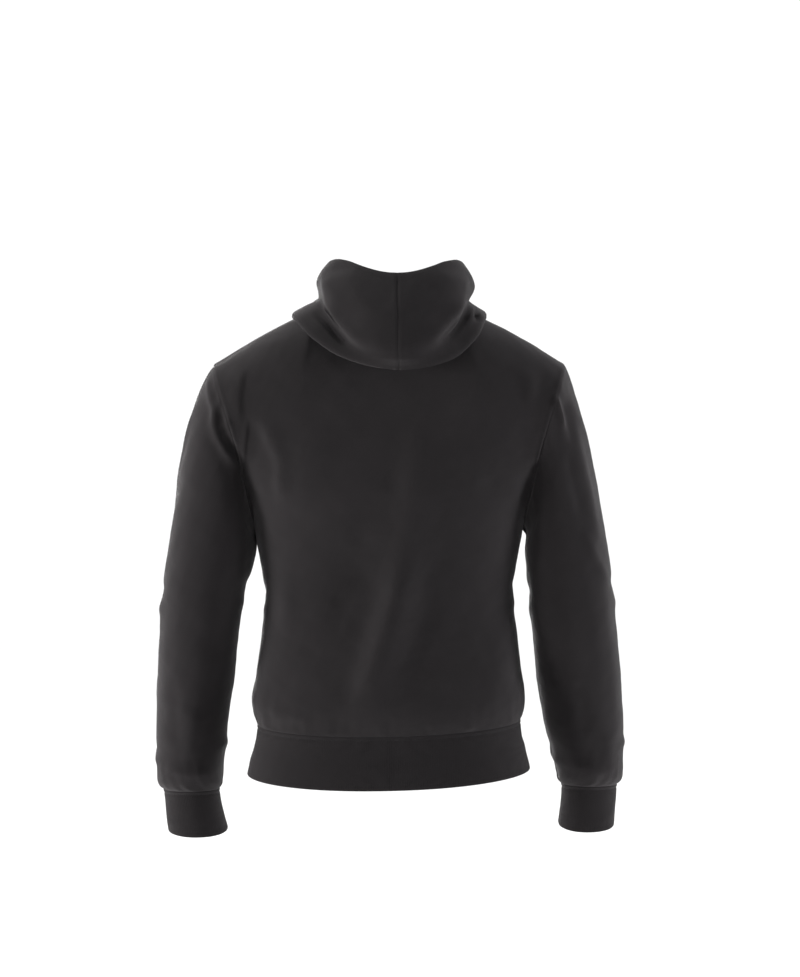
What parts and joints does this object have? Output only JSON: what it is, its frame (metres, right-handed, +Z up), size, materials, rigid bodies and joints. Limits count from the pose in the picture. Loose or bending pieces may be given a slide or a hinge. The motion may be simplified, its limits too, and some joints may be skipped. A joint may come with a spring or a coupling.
{
  "type": "zip-up hooded sweatshirt",
  "caption": "Zip-up fleece hooded sweatshirt in its worn, hanging shape, hood down and zip closed, with long sleeves and ribbed cuffs and waistband, hollow and open at neck, hem and cuffs.",
  "frame": {"origin": "middle of the neck opening at the height of the shoulder points, where the shoulder seams meet the neck: the garment is held up there by the wearer's shoulders", "axes": "+Z up, the wearer faces -Y, +X to the wearer's left"},
  "size_m": [0.657, 0.269, 0.8158],
  "materials": {
    "fleece": "brushed, softly fuzzy sweatshirt knit in near-black charcoal",
    "rib": "ribbed knit in the same near-black charcoal",
    "zip_tape": "fine woven tape",
    "zip_metal": "dark satin metal"
  },
  "bodies": {
    "garment": {"back": "fleece", "front_left": "fleece", "front_right": "fleece", "sleeve_left_upper": "fleece", "sleeve_left_lower": "fleece", "sleeve_right_upper": "fleece", "sleeve_right_lower": "fleece", "cuff_left": "rib", "cuff_right": "rib", "waistband": "rib", "hood_left": "fleece", "hood_right": "fleece", "zip_tape_left": "zip_tape", "zip_tape_right": "zip_tape", "zip_chain": "zip_metal", "zip_slider": "zip_metal", "zip_top_stop_left": "zip_metal", "zip_top_stop_right": "zip_metal", "zip_box": "zip_metal"},
    "pull": {"zip_pull": "zip_metal"}
  },
  "joints": [
    {"name": "pull_hinge", "type": "hinge", "parent": "garment", "child": "pull", "pos_m": [0, -0.08664, -0.09932], "axis": [-1, 0, 0], "range_deg": [0, 160]}
  ]
}
